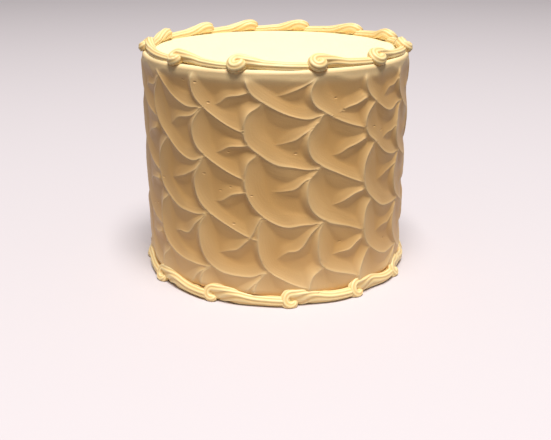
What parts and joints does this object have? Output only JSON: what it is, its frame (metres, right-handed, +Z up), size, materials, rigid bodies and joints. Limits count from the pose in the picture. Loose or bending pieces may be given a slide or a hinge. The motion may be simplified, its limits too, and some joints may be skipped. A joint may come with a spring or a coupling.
{
  "type": "vanilla cake",
  "caption": "Round, tall vanilla buttercream cake to display or serve, its side drawn into scooped spatula petals, with piped scroll borders at top edge and foot.",
  "frame": {"origin": "middle of the cake's flat foot, on the surface it stands on", "axes": "+Z up along the cake's axis, -Y towards the side that faces the viewer, +X to the viewer's right"},
  "size_m": [0.1728, 0.1728, 0.1464],
  "materials": {
    "spread_buttercream": "satin spread buttercream with faint spatula streaks",
    "piped_buttercream": "satin piped buttercream, a little paler than the side"
  },
  "bodies": {
    "root": {"cake_body": "spread_buttercream", "top_scroll_01": "piped_buttercream", "top_scroll_02": "piped_buttercream", "top_scroll_03": "piped_buttercream", "top_scroll_04": "piped_buttercream", "top_scroll_05": "piped_buttercream", "top_scroll_06": "piped_buttercream", "top_scroll_07": "piped_buttercream", "top_scroll_08": "piped_buttercream", "top_scroll_09": "piped_buttercream", "top_scroll_10": "piped_buttercream", "top_scroll_11": "piped_buttercream", "top_scroll_12": "piped_buttercream", "foot_scroll_01": "piped_buttercream", "foot_scroll_02": "piped_buttercream", "foot_scroll_03": "piped_buttercream", "foot_scroll_04": "piped_buttercream", "foot_scroll_05": "piped_buttercream", "foot_scroll_06": "piped_buttercream", "foot_scroll_07": "piped_buttercream", "foot_scroll_08": "piped_buttercream", "foot_scroll_09": "piped_buttercream", "foot_scroll_10": "piped_buttercream", "foot_scroll_11": "piped_buttercream", "foot_scroll_12": "piped_buttercream"}
  },
  "joints": []
}
